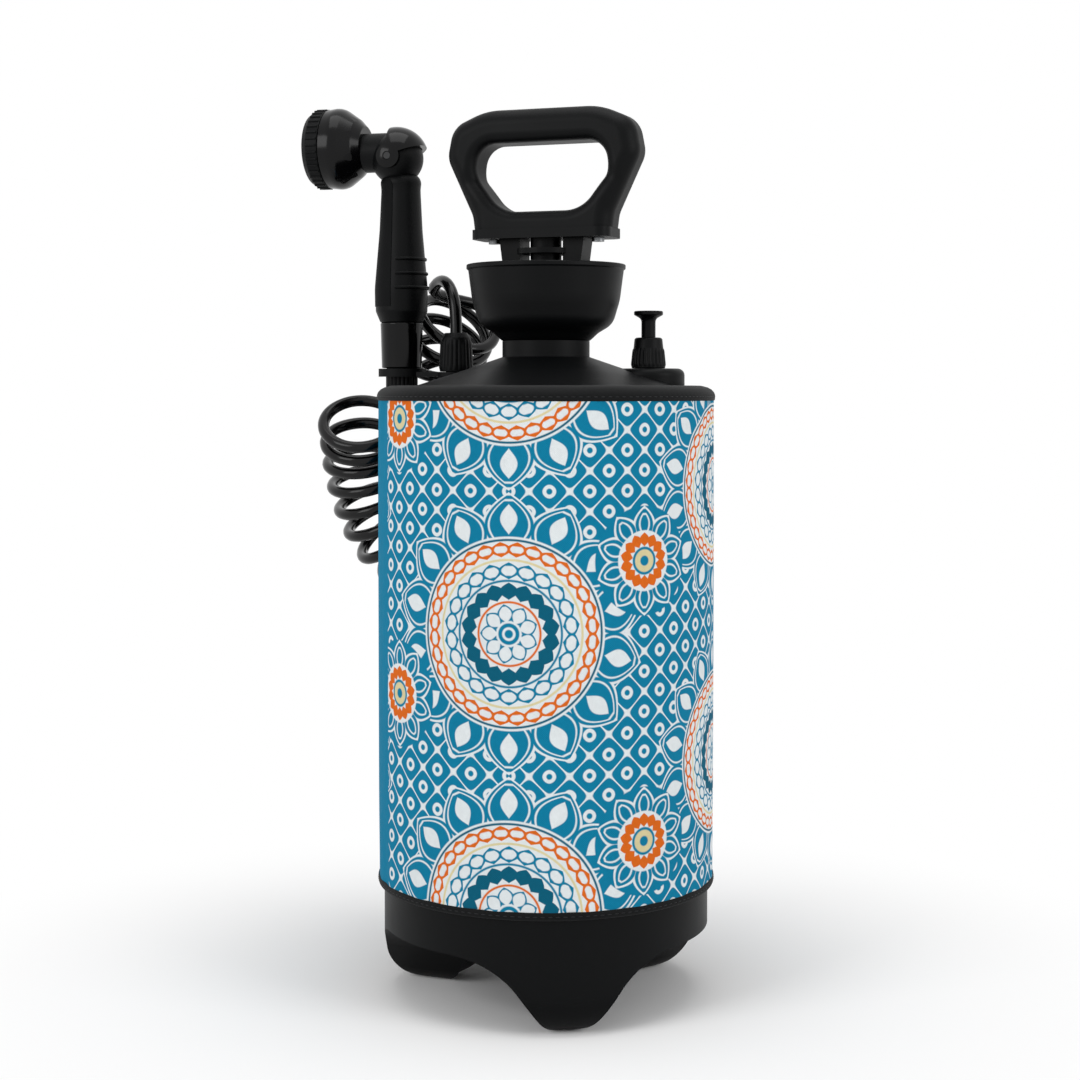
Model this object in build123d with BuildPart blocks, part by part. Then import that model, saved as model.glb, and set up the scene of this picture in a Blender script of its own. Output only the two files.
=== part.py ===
from build123d import *
import math
import os

os.makedirs("parts", exist_ok=True)

# Portable pressure shower. Millimetres, the floor at Z = 0 and the tank's own axis on Z.
# The front of the object faces -Y.

# Clearances
fit = 0.1
running_gap = 0.3
seat_gap = 0.2

# Tank, blow moulded with three feet
tank_radius = 92.0
tank_wall = 2.5
tank_corner_radius = 8.0
shoulder_height = 341.5
shoulder_slope_radius = 73.0
shoulder_slope_height = 345.0
shoulder_mid_radius = 45.0
shoulder_mid_height = 354.0
neck_radius = 24.7
neck_bore_radius = 20.5
neck_base_height = 361.0
neck_top_height = 370.0
foot_count = 3
foot_turn = 8.0
foot_edge_radius = 20.0
foot_tip_radius = 20.0
foot_flat_depth = 0.6
foot_flank_angle = 37.0
foot_web_radius = 44.0
foot_inner_radius = 34.0
arch_height = 41.0
arch_edge_radius = 5.0

# Printed sleeve and its bound edges
sleeve_thickness = 3.0
sleeve_bottom_height = 64.0
sleeve_top_height = 341.0
binding_width = 4.5
binding_proud = 0.5
seam_angle = 158.0
seam_width = 9.0
seam_thickness = 0.6

# Filling funnel
funnel_rim_radius = 45.0
funnel_rim_height = 413.0
funnel_wall = 2.4
funnel_floor_height = 377.5
funnel_side_radius = 41.8
funnel_side_height = 393.0

# Pump
cap_radius = 27.0
cap_top_height = 408.0
cap_flange_height = 379.5
cap_skirt_bottom = 360.0
cap_floor_height = 396.0
cap_ceiling_height = 390.0
lock_lip_radius = 20.3
lock_lip_height = 404.0
lock_recess_radius = 24.2
lock_gap_angle = 56.0
cap_flute_count = 16
cap_flute_radius = 2.2
cylinder_radius = 17.5
cylinder_wall = 1.5
cylinder_bottom = 130.0
bead_height = 376.0
bead_proud = 0.5
bead_width = 2.0
rod_radius = 4.0
bush_radius = 7.9
bush_flange_radius = 11.5
bush_flange_thickness = 3.0
piston_bottom = 142.0
piston_thickness = 16.0
cup_thickness = 5.0
foot_valve_radius = 11.0
foot_valve_thickness = 2.0
end_plug_thickness = 4.0
port_radius = 1.8
port_circle = 8.0
port_count = 6
gasket_thickness = 1.6

# Pump handle
handle_turn = 20.0
handle_base_height = 427.5
handle_plate_thickness = 5.5
handle_plate_length = 82.0
handle_plate_depth = 30.0
handle_depth = 26.0
handle_top_height = 500.5
handle_edge_radius = 9.0
opening_edge_radius = 6.0
opening_bottom_height = 442.8
opening_top_height = 481.4
leg_half_depth = 8.0
leg_inner = 12.8
leg_neck = 18.2
leg_toe = 22.2
leg_bottom_height = 397.0
hub_radius = 8.8
hub_bottom_height = 409.5
hub_flange_radius = 16.5
hub_flange_height = 419.0
hub_flange_thickness = 3.0
screw_head_radius = 3.5
screw_head_thickness = 2.0
screw_radius = 1.6
screw_spacing = 62.0
screw_length = 12.0

# Relief valve on the right of the shoulder
relief_x = 58.0
relief_y = 0.0
relief_pad_radius = 20.5
relief_pad_height = 354.5
pad_edge_radius = 4.0
relief_nut_radius = 9.6
relief_nut_top_radius = 7.8
relief_nut_top = 372.0
relief_cavity_radius = 6.3
relief_cavity_top = 368.5
relief_stem_radius = 4.0
relief_button_radius = 8.2
relief_button_height = 387.0
relief_vent_radius = 2.2
relief_seal_thickness = 2.0
relief_collar_thickness = 1.5
spring_wire_radius = 0.5
spring_turns = 4

# Outlet on the left of the shoulder
outlet_x = -53.0
outlet_y = 50.0
outlet_pad_radius = 10.7
outlet_pad_height = 350.0
outlet_nut_radius = 9.8
outlet_nut_top_radius = 6.6
outlet_nut_top = 376.0
spigot_radius = 6.0
spigot_bore_radius = 2.0
spigot_top = 368.0
spigot_flange_radius = 9.5
spigot_flange_thickness = 2.0
dip_tube_radius = 4.5
dip_tube_bore_radius = 3.0
dip_tube_bottom = 50.0
strainer_radius = 7.0
strainer_bottom = 44.6
strainer_height = 14.0
strainer_slot_count = 6

# Handset, parked upright beside the shoulder
handset_x = -86.0
handset_y = 62.0
handset_turn = 16.0
holder_plate_thickness = 2.8
holder_ring_radius = 14.6
holder_ring_bore = 10.4
holder_ring_thickness = 4.4
holder_mouth = 18.4
hose_nut_radius = 9.0
hose_nut_bottom = 336.0
collar_radius = 12.5
collar_bottom = 355.3
grip_bottom = 382.6
grip_bottom_radius = 12.7
grip_wide_radius = 15.6
grip_neck_radius = 11.4
grip_neck_height = 462.0
inlay_thickness = 1.4
inlay_proud = 0.4
inlay_bottom = 392.0
inlay_top = 468.0
grip_rib_heights = (420.0, 411.5, 403.0)
ball_radius = 15.6
ball_offset = 2.5
ball_height = 480.0
head_height = 486.8
arm_radius = 11.6
arm_drop = 3.0
arm_end = 22.0
bell_back = 22.0
bell_radius = 24.4
bell_wide = 36.0
bell_front = 44.5
bell_facets = 8
bell_facet_radius = 14.2
bell_slope = math.radians(37)
bell_wall = 2.2
ring_radius = 23.2
ring_front = 55.0
ring_rib_count = 36
ring_rib_radius = 0.7
face_radius = 19.4
nozzle_radius = 0.8
lever_gap = 0.4
lever_thickness = 2.8
lever_start = 82.0
lever_end = 158.0
lever_boss_radius = 7.0
pivot_radius = 2.5
pin_play = 0.05

# Curly hose
hose_radius = 3.5
coil_radius = 28.5
coil_wall = 1.5
coil_core_radius = 18.0
coil_end_thickness = 3.0

# Route of the coil's middle, from the handset's end to the outlet's end
coil_route = [
    (-110, 68, 328),
    (-110, 81, 315),
    (-109, 91, 295),
    (-104, 100, 272),
    (-92, 111, 247),
    (-72, 125, 236),
    (-49, 138, 243),
    (-34, 145, 265),
    (-34, 142, 292),
    (-50, 137, 320),
    (-62, 126, 346),
    (-66, 108, 369),
    (-50, 91, 389),
]
# Straight out of the handset's nut and a little back, into the coil
handset_tail_route = [
    (handset_x, handset_y, hose_nut_bottom),
    (handset_x, handset_y, hose_nut_bottom - 10),
    (handset_x - 1, handset_y + 3.5, hose_nut_bottom - 20),
]
# Up out of the outlet's nut, then over in an arch into the coil
outlet_tail_route = [
    (outlet_x, outlet_y, outlet_nut_top),
    (outlet_x, outlet_y, outlet_nut_top + 15),
    (outlet_x - 4, outlet_y + 8.9, outlet_nut_top + 28.9),
    (outlet_x - 10.7, outlet_y + 23.8, outlet_nut_top + 33.3),
    (outlet_x - 18.2, outlet_y + 40.3, outlet_nut_top + 24.9),
]


def turn(outline, plane=Plane.XZ, axis=Axis.Z, mode=Mode.ADD):
    """Turns a closed outline of (radius, height, corner radius) about an axis."""
    with BuildSketch(plane) as profile:
        with BuildLine():
            FilletPolyline(
                *[(radius, height) for radius, height, corner in outline],
                radius=[corner for radius, height, corner in outline],
                close=True,
            )
        make_face()
    revolve(profile.sketch, axis=axis, mode=mode)


def upright(x, y):
    """The plane and the axis of a piece that is turned about a vertical line."""
    plane = Plane(origin=(x, y, 0), x_dir=(1, 0, 0), z_dir=(0, -1, 0))
    return plane, Axis((x, y, 0), (0, 0, 1))


def arc_radii(route):
    """Radius of each arc of a cord's route: as large as its two runs allow."""
    radii = []
    for before, corner, after in zip(route, route[1:], route[2:]):
        run_in = Vector(*corner) - Vector(*before)
        run_out = Vector(*after) - Vector(*corner)
        half_turn = math.radians(run_in.get_angle(run_out)) / 2
        radii.append(0.45 * min(run_in.length, run_out.length) / math.tan(half_turn))
    return radii


def lay_tube(route, radius, name):
    """Sweeps a round cord along straight runs joined by tangent arcs."""
    radii = arc_radii(route)
    with BuildLine() as line:
        FilletPolyline(*route, radius=radii)
    path = line.wire()
    with BuildSketch(Plane(origin=path @ 0, z_dir=path % 0)) as section:
        Circle(radius)
    tube = sweep(section.sketch, path=path)
    swept = math.pi * radius**2 * path.length
    print(name, "length", round(path.length, 1), "radii", [round(r, 1) for r in radii])
    print(name, "volume", round(tube.volume), "section times length", round(swept))


def lay_coil(route, radius, name):
    """Sweeps a coil as its outer skin, with a ring at each end and an open core."""
    radii = arc_radii(route)
    with BuildLine() as line:
        FilletPolyline(*route, radius=radii)
    path = line.wire()
    for edge, mode in ((radius, Mode.ADD), (radius - coil_wall, Mode.SUBTRACT)):
        with BuildSketch(Plane(origin=path @ 0, z_dir=path % 0)) as section:
            Circle(edge)
        sweep(section.sketch, path=path, mode=mode)
    for end, depth in ((0, coil_end_thickness), (1, -coil_end_thickness)):
        with BuildSketch(Plane(origin=path @ end, z_dir=path % end)) as end_ring:
            Circle(radius - coil_wall / 2)
            Circle(coil_core_radius, mode=Mode.SUBTRACT)
        extrude(end_ring.sketch, amount=depth)
    print(name, "length", round(path.length, 1), "radii", [round(r, 1) for r in radii])


# Tank
# The outer form and the hollow are the same form at two insets, so the wall follows.
def tank_outline(inset):
    """The tank's side and shoulder, from the arches up to the neck."""
    radius = tank_radius - inset
    corner = max(tank_corner_radius - inset, 1.0)
    drop = inset
    return [
        (0, arch_height + inset, 0),
        (radius, arch_height + inset, 0),
        (radius, shoulder_height - drop, corner),
        (shoulder_slope_radius, shoulder_slope_height - drop, 20.0),
        (shoulder_mid_radius, shoulder_mid_height - drop, 30.0),
        (neck_radius, neck_base_height - drop, 0),
        (0, neck_base_height - drop, 0),
    ]


def foot_ring_outline(inset):
    """Section of the ring that the three feet are cut from."""
    radius = tank_radius - inset
    edge = foot_edge_radius - inset
    top = arch_height + 2 * inset + 0.5
    return [
        (foot_inner_radius + inset, top, 0),
        (foot_inner_radius + 20 + inset, inset, 14.0),
        (radius, inset, edge),
        (radius, top, 0),
    ]


def foot_front_plane(index):
    """The plane across one foot, with its normal along the foot's own radius."""
    turn_angle = math.radians(foot_turn + index * 360 / foot_count)
    radial = (math.sin(turn_angle), -math.cos(turn_angle), 0)
    return Plane(origin=(0, 0, 0), x_dir=(math.cos(turn_angle), math.sin(turn_angle), 0), z_dir=radial)


def foot_sketch(plane, inset):
    """A foot seen from the front: a round tip, straight flanks and wide webs."""
    slope = math.radians(foot_flank_angle)
    tip_radius = foot_tip_radius - inset
    tip_middle = foot_tip_radius - foot_flat_depth
    tip_x = tip_radius * math.cos(slope)
    tip_z = tip_middle - tip_radius * math.sin(slope)
    web_top = arch_height + inset
    web_rise = foot_web_radius * (1 - math.sin(slope))
    web_x = tip_x + (web_top - web_rise - tip_z) * math.tan(slope)
    web_end = web_x + foot_web_radius * math.cos(slope)
    top = arch_height + 2 * inset + 1.0
    with BuildSketch(plane) as shape:
        with BuildLine():
            flank = Line((tip_x, tip_z), (web_x, web_top - web_rise))
            web = TangentArc(flank @ 1, (web_end, web_top), tangent=flank % 1)
            far = Line(web @ 1, (web_end, top))
            over = Line(far @ 1, (0, top))
            down = Line(over @ 1, (0, tip_middle - tip_radius))
            ThreePointArc(
                down @ 1,
                (tip_radius * math.sin(slope), tip_middle - tip_radius * math.cos(slope)),
                flank @ 0,
            )
        make_face()
        mirror(about=Plane.YZ)
    return shape.sketch


def foot_form(inset, index):
    """One foot, as the part of the foot ring that its front outline covers."""
    with BuildPart() as foot:
        turn(foot_ring_outline(inset))
        extrude(
            foot_sketch(foot_front_plane(index), inset),
            amount=tank_radius + 10,
            mode=Mode.INTERSECT,
        )
    return foot.part


outer_feet = [foot_form(0, index) for index in range(foot_count)]
inner_feet = [foot_form(tank_wall, index) for index in range(foot_count)]
relief_plane, relief_axis = upright(relief_x, relief_y)
outlet_plane, outlet_axis = upright(outlet_x, outlet_y)
pad_underside = shoulder_height - tank_wall - 3

with BuildPart() as tank_outer:
    turn(tank_outline(0))
    for foot in outer_feet:
        add(foot)

with BuildPart() as tank_hollow:
    turn(tank_outline(tank_wall))
    for foot in inner_feet:
        add(foot)

with BuildPart() as tank:
    add(tank_outer.part)
    with BuildSketch(Plane.XY.offset(neck_base_height - 8)):
        Circle(neck_radius)
    extrude(amount=neck_top_height - neck_base_height + 8)
    turn(
        [
            (0, pad_underside, 0),
            (relief_pad_radius, pad_underside, 0),
            (relief_pad_radius, relief_pad_height, pad_edge_radius),
            (0, relief_pad_height, 0),
        ],
        relief_plane,
        relief_axis,
    )
    turn(
        [
            (0, pad_underside, 0),
            (outlet_pad_radius, pad_underside, 0),
            (outlet_pad_radius, outlet_pad_height, 1.0),
            (0, outlet_pad_height, 0),
        ],
        outlet_plane,
        outlet_axis,
    )
    add(tank_hollow.part, mode=Mode.SUBTRACT)
    with Locations((0, 0, neck_top_height)):
        Hole(neck_bore_radius, depth=40)
    with Locations((relief_x, relief_y, relief_pad_height)):
        Hole(relief_vent_radius, depth=40)
    with Locations((outlet_x, outlet_y, outlet_pad_height)):
        Hole(spigot_radius + fit, depth=40)
tank.part.label = "tank"
export_step(tank.part, "parts/tank.step")

# Sleeve of printed neoprene, with a bound edge at its top and its bottom
sleeve_radius = tank_radius + sleeve_thickness
with BuildPart() as sleeve:
    turn(
        [
            (tank_radius + seat_gap, sleeve_bottom_height + binding_width, 0),
            (sleeve_radius, sleeve_bottom_height + binding_width, 0),
            (sleeve_radius, sleeve_top_height - binding_width, 0),
            (tank_radius + seat_gap, sleeve_top_height - binding_width, 0),
        ]
    )
sleeve.part.label = "sleeve"
export_step(sleeve.part, "parts/sleeve.step")

with BuildPart() as sleeve_bottom_binding:
    turn(
        [
            (tank_radius + seat_gap, sleeve_bottom_height, 0.8),
            (sleeve_radius + binding_proud, sleeve_bottom_height, 1.6),
            (sleeve_radius + binding_proud, sleeve_bottom_height + binding_width, 0.4),
            (tank_radius + seat_gap, sleeve_bottom_height + binding_width, 0),
        ]
    )
sleeve_bottom_binding.part.label = "sleeve_bottom_binding"
export_step(sleeve_bottom_binding.part, "parts/sleeve_bottom_binding.step")

# The top edge folds in over the corner of the shoulder and follows its slope.
fold_inner_radius = tank_radius - tank_corner_radius
fold_rise = (shoulder_slope_height - shoulder_height) / (tank_radius - shoulder_slope_radius)
fold_base = shoulder_height + seat_gap
fold_thickness = 2.2
with BuildPart() as sleeve_top_binding:
    turn(
        [
            (tank_radius + seat_gap, sleeve_top_height - binding_width, 0),
            (sleeve_radius + binding_proud, sleeve_top_height - binding_width, 0.4),
            (sleeve_radius + binding_proud, fold_base + fold_thickness - 0.6, 4.0),
            (
                fold_inner_radius,
                fold_base + fold_rise * tank_corner_radius + fold_thickness,
                1.0,
            ),
            (fold_inner_radius, fold_base + fold_rise * tank_corner_radius, 0),
            (tank_radius + seat_gap, fold_base, 0),
        ]
    )
sleeve_top_binding.part.label = "sleeve_top_binding"
export_step(sleeve_top_binding.part, "parts/sleeve_top_binding.step")

# The flat seam that closes the sleeve, sewn over its join at the back
seam_half_angle = math.degrees(seam_width / 2 / sleeve_radius)
with BuildPart() as sleeve_seam:
    with BuildSketch(Plane.XZ.rotated((0, 0, seam_angle - seam_half_angle))) as seam_section:
        with Locations((sleeve_radius + seat_gap / 2, sleeve_bottom_height + binding_width + 1)):
            Rectangle(
                seam_thickness,
                sleeve_top_height - sleeve_bottom_height - 2 * binding_width - 2,
                align=(Align.MIN, Align.MIN),
            )
    revolve(axis=Axis.Z, revolution_arc=2 * seam_half_angle)
sleeve_seam.part.label = "sleeve_seam"
export_step(sleeve_seam.part, "parts/sleeve_seam.step")

# Funnel round the neck, which catches what is spilt when the tank is filled
funnel_inner_side = funnel_side_radius - funnel_wall
with BuildPart() as filler_funnel:
    turn(
        [
            (neck_bore_radius, neck_top_height, 0),
            (neck_radius, neck_top_height, 3.0),
            (neck_radius + 5, neck_top_height + 4.6, 6.0),
            (funnel_side_radius - 4, funnel_floor_height + 2, 11.0),
            (funnel_side_radius, funnel_side_height, 30.0),
            (funnel_rim_radius - 1.0, funnel_rim_height - 3.0, 1.0),
            (funnel_rim_radius, funnel_rim_height - 2.4, 0.6),
            (funnel_rim_radius, funnel_rim_height, 0.6),
            (funnel_rim_radius - 3.2, funnel_rim_height, 0.8),
            (funnel_inner_side, funnel_side_height, 30.0),
            (funnel_inner_side - 4.4, funnel_floor_height + 5.6, 9.0),
            (neck_radius + 3.4, funnel_floor_height, 2.0),
            (neck_bore_radius, funnel_floor_height, 0),
        ]
    )
filler_funnel.part.label = "filler_funnel"
export_step(filler_funnel.part, "parts/filler_funnel.step")

# Pump gasket, between the funnel's floor and the cap's flange
skirt_radius = neck_bore_radius - running_gap
gasket_inner_radius = skirt_radius + running_gap
gasket_outer_radius = neck_radius + 0.8
gasket_bottom = funnel_floor_height + seat_gap
with BuildPart() as pump_gasket:
    turn(
        [
            (gasket_inner_radius, gasket_bottom, 0.3),
            (gasket_outer_radius, gasket_bottom, 0.3),
            (gasket_outer_radius, gasket_bottom + gasket_thickness, 0.3),
            (gasket_inner_radius, gasket_bottom + gasket_thickness, 0.3),
        ]
    )
pump_gasket.part.label = "pump_gasket"
export_step(pump_gasket.part, "parts/pump_gasket.step")

# Pump cylinder, a tube with a bead that snaps into the cap's skirt
cylinder_bore_radius = cylinder_radius - cylinder_wall
cylinder_top = cap_ceiling_height - running_gap
with BuildPart() as pump_cylinder:
    turn(
        [
            (cylinder_bore_radius, cylinder_bottom, 0),
            (cylinder_radius, cylinder_bottom, 0),
            (cylinder_radius, bead_height - bead_width / 2, 0),
            (cylinder_radius + bead_proud, bead_height - bead_width / 4, 0),
            (cylinder_radius + bead_proud, bead_height + bead_width / 4, 0),
            (cylinder_radius, bead_height + bead_width / 2, 0),
            (cylinder_radius, cylinder_top, 0.6),
            (cylinder_bore_radius, cylinder_top, 0),
        ]
    )
pump_cylinder.part.label = "pump_cylinder"
export_step(pump_cylinder.part, "parts/pump_cylinder.step")

# Plug in the cylinder's foot, with ports that the foot valve covers
plug_flange_bottom = cylinder_bottom - end_plug_thickness
with BuildPart() as cylinder_end_plug:
    turn(
        [
            (0, plug_flange_bottom, 0),
            (cylinder_radius, plug_flange_bottom, 0.8),
            (cylinder_radius, cylinder_bottom, 0),
            (cylinder_bore_radius - fit, cylinder_bottom, 0),
            (cylinder_bore_radius - fit, cylinder_bottom + end_plug_thickness, 0.5),
            (0, cylinder_bottom + end_plug_thickness, 0),
        ]
    )
    with Locations((0, 0, cylinder_bottom + end_plug_thickness)):
        with PolarLocations(port_circle, port_count):
            Hole(port_radius)
        Hole(port_radius + fit)
cylinder_end_plug.part.label = "cylinder_end_plug"
export_step(cylinder_end_plug.part, "parts/cylinder_end_plug.step")

# Foot valve, a rubber mushroom whose stem is pulled through the plug
valve_top = plug_flange_bottom - fit
valve_bulb_bottom = cylinder_bottom + end_plug_thickness + fit
with BuildPart() as foot_valve:
    turn(
        [
            (0, valve_top - foot_valve_thickness, 0),
            (foot_valve_radius, valve_top - foot_valve_thickness / 2, 0.4),
            (foot_valve_radius, valve_top, 0),
            (port_radius, valve_top, 0),
            (port_radius, valve_bulb_bottom, 0),
            (port_radius + 0.8, valve_bulb_bottom, 0.3),
            (port_radius, valve_bulb_bottom + 3, 0),
            (0, valve_bulb_bottom + 3, 0),
        ]
    )
foot_valve.part.label = "foot_valve"
export_step(foot_valve.part, "parts/foot_valve.step")

# Screw cap, with a fluted grip and two lips that the handle's toes turn under
groove_radius = cylinder_radius + bead_proud + running_gap
with BuildPart() as pump_cap:
    turn(
        [
            (cylinder_radius + running_gap, cap_skirt_bottom, 0.4),
            (skirt_radius, cap_skirt_bottom, 0.6),
            (skirt_radius, cap_flange_height, 0),
            (cap_radius, cap_flange_height, 0.8),
            (cap_radius, cap_top_height, 1.2),
            (lock_lip_radius, cap_top_height, 0.6),
            (lock_lip_radius, lock_lip_height, 0),
            (lock_recess_radius, lock_lip_height, 0),
            (lock_recess_radius, cap_floor_height, 0.8),
            (bush_radius + fit, cap_floor_height, 0),
            (bush_radius + fit, cap_ceiling_height, 0),
            (cylinder_radius + running_gap, cap_ceiling_height, 0),
            (cylinder_radius + running_gap, bead_height + bead_width, 0),
            (groove_radius, bead_height + bead_width, 0),
            (groove_radius, bead_height - bead_width, 0),
            (cylinder_radius + running_gap, bead_height - bead_width, 0),
        ]
    )
    with BuildSketch(Plane.XY.offset(lock_lip_height)) as lip_gaps:
        with Locations((0, 0)):
            with BuildLine():
                half_gap = lock_gap_angle / 2
                first = PolarLine((0, 0), lock_recess_radius, -handle_turn - half_gap)
                arc = CenterArc((0, 0), lock_recess_radius, -handle_turn - half_gap, lock_gap_angle)
                Line(arc @ 1, (0, 0))
            make_face()
        mirror_gap = lip_gaps.sketch.rotate(Axis.Z, 180)
        add(mirror_gap)
    extrude(amount=cap_top_height - lock_lip_height, mode=Mode.SUBTRACT)
    with BuildSketch(Plane.XY.offset(cap_flange_height + 3)):
        with PolarLocations(cap_radius + cap_flute_radius * 0.6, cap_flute_count):
            Circle(cap_flute_radius)
    extrude(amount=cap_top_height, mode=Mode.SUBTRACT)
pump_cap.part.label = "pump_cap"
export_step(pump_cap.part, "parts/pump_cap.step")

# Bush in the cap's floor, which guides the rod
with BuildPart() as rod_bush:
    turn(
        [
            (rod_radius + fit, cap_ceiling_height - 2, 0),
            (bush_radius, cap_ceiling_height - 2, 0.4),
            (bush_radius, cap_floor_height + fit, 0),
            (bush_flange_radius, cap_floor_height + fit, 0),
            (bush_flange_radius, cap_floor_height + fit + bush_flange_thickness, 0.6),
            (rod_radius + fit, cap_floor_height + fit + bush_flange_thickness, 0.4),
        ]
    )
rod_bush.part.label = "rod_bush"
export_step(rod_bush.part, "parts/rod_bush.step")

# Piston rod, from the piston up into the handle's hub
rod_bottom = piston_bottom + 2
rod_top = handle_base_height - 1
with BuildPart() as piston_rod:
    with BuildSketch(Plane.XY.offset(rod_bottom)):
        Circle(rod_radius)
    extrude(amount=rod_top - rod_bottom)
piston_rod.part.label = "piston_rod"
export_step(piston_rod.part, "parts/piston_rod.step")

# Piston, with a groove for its cup
piston_radius = cylinder_bore_radius - fit
piston_top = piston_bottom + piston_thickness
groove_bottom = piston_bottom + (piston_thickness - cup_thickness) / 2
groove_top = groove_bottom + cup_thickness
groove_floor_radius = piston_radius - 3.5
with BuildPart() as piston:
    turn(
        [
            (0, piston_bottom, 0),
            (piston_radius, piston_bottom, 0.8),
            (piston_radius, groove_bottom, 0),
            (groove_floor_radius, groove_bottom, 0),
            (groove_floor_radius, groove_top, 0),
            (piston_radius, groove_top, 0),
            (piston_radius, piston_top, 0.8),
            (rod_radius + 4, piston_top, 0),
            (rod_radius + 3, piston_top + 8, 0.6),
            (0, piston_top + 8, 0),
        ]
    )
    with Locations((0, 0, piston_top + 8)):
        Hole(rod_radius + fit, depth=piston_top + 8 - rod_bottom + fit)
piston.part.label = "piston"
export_step(piston.part, "parts/piston.step")

with BuildPart() as piston_cup:
    turn(
        [
            (groove_floor_radius + fit, groove_bottom + fit, 0),
            (piston_radius - 0.6, groove_bottom + fit, 0),
            (piston_radius + 0.05, groove_top - fit, 0),
            (piston_radius - 0.8, groove_top - fit, 0),
            (groove_floor_radius + 1.6, groove_bottom + 2, 0.6),
            (groove_floor_radius + fit, groove_top - fit, 0),
        ]
    )
piston_cup.part.label = "piston_cup"
export_step(piston_cup.part, "parts/piston_cup.step")

# Pump handle. Its own plane runs across the opening, turned a little towards the front.
handle_angle = math.radians(handle_turn)
handle_plane = Plane(
    origin=(0, 0, 0),
    x_dir=(math.cos(handle_angle), -math.sin(handle_angle), 0),
    z_dir=(-math.sin(handle_angle), -math.cos(handle_angle), 0),
)
loop_bottom = handle_base_height + handle_plate_thickness
plate_half = handle_plate_length / 2
half_outline = [
    (plate_half, loop_bottom, 0.0),
    (plate_half + 1.0, loop_bottom + 8, 15.0),
    (plate_half + 16.5, loop_bottom + 41, 14.0),
    (plate_half + 13.0, handle_top_height - 8.5, 14.0),
    (plate_half - 7.0, handle_top_height, 40.0),
]
half_opening = [
    (24.0, opening_bottom_height, 20.0),
    (40.0, opening_bottom_height + 21.2, 14.0),
    (37.5, opening_top_height, 12.0),
]
screw_plane = Plane(
    origin=(0, 0, handle_base_height), x_dir=handle_plane.x_dir, z_dir=(0, 0, 1)
)
screw_places = ((screw_spacing / 2, 0), (-screw_spacing / 2, 0))


def both_sides(half):
    """A closed outline from its right half, given from the bottom to the top."""
    return half + [(-across, height, corner) for across, height, corner in reversed(half)]


def closed_outline(outline):
    """Draws a closed outline of (across, height, corner radius) in the open sketch."""
    with BuildLine() as line:
        FilletPolyline(
            *[(across, height) for across, height, corner in outline],
            radius=[corner for across, height, corner in outline],
            close=True,
        )
    make_face(line.line)


with BuildPart() as handle_loop:
    with BuildSketch(handle_plane):
        closed_outline(both_sides(half_outline))
    extrude(amount=handle_depth / 2, both=True)
    with BuildSketch(handle_plane):
        closed_outline(both_sides(half_opening))
    extrude(amount=handle_depth, both=True, mode=Mode.SUBTRACT)
    side_faces = handle_loop.faces().filter_by(handle_plane)
    outer_edges = [edge for face in side_faces for edge in face.outer_wire().edges()]
    fillet([e for e in outer_edges if e.center().Z > loop_bottom + 0.5], handle_edge_radius)
    side_faces = handle_loop.faces().filter_by(handle_plane)
    fillet(
        [edge for face in side_faces for wire in face.inner_wires() for edge in wire.edges()],
        opening_edge_radius,
    )
    with BuildSketch(screw_plane.offset(handle_plate_thickness)):
        with Locations(*screw_places):
            Circle(screw_radius + fit)
    extrude(amount=screw_length - handle_plate_thickness + fit, mode=Mode.SUBTRACT)
handle_loop.part.label = "handle_loop"
export_step(handle_loop.part, "parts/handle_loop.step")

# Plate under the loop, with the hub that holds the rod and the two legs that lock in the cap
leg_outline = [
    (leg_inner, handle_base_height + 0.5),
    (leg_neck + 7.0, handle_base_height + 0.5),
    (leg_neck + 4.6, hub_bottom_height),
    (leg_neck, hub_bottom_height),
    (leg_neck, lock_lip_height - 1.2),
    (leg_toe, lock_lip_height - 1.2),
    (leg_toe, leg_bottom_height),
    (leg_inner, leg_bottom_height),
]
with BuildPart() as handle_base:
    with BuildSketch(screw_plane):
        RectangleRounded(handle_plate_length, handle_plate_depth, 7)
        with Locations(*screw_places):
            Circle(screw_radius + fit, mode=Mode.SUBTRACT)
    extrude(amount=handle_plate_thickness - fit)
    with BuildSketch(handle_plane) as legs:
        with BuildLine():
            Polyline(*leg_outline, close=True)
        make_face()
        mirror(about=Plane.YZ)
    extrude(amount=leg_half_depth, both=True)
    with BuildSketch(Plane.XY.offset(hub_bottom_height)):
        Circle(hub_radius)
    extrude(amount=handle_base_height - hub_bottom_height)
    with BuildSketch(Plane.XY.offset(hub_flange_height)):
        Circle(hub_flange_radius)
    extrude(amount=hub_flange_thickness)
    with BuildSketch(Plane.XY.offset(hub_bottom_height)):
        Circle(rod_radius + fit)
    extrude(amount=rod_top + fit - hub_bottom_height, mode=Mode.SUBTRACT)
handle_base.part.label = "handle_base"
export_step(handle_base.part, "parts/handle_base.step")

# Two screws from below, through the plate into the loop
with BuildPart() as handle_screws:
    with BuildSketch(screw_plane.offset(-fit)):
        with Locations(*screw_places):
            Circle(screw_head_radius)
    extrude(amount=-screw_head_thickness)
    with BuildSketch(screw_plane.offset(-fit)):
        with Locations(*screw_places):
            Circle(screw_radius)
    extrude(amount=screw_length)
handle_screws.part.label = "handle_screws"
export_step(handle_screws.part, "parts/handle_screws.step")

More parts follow.
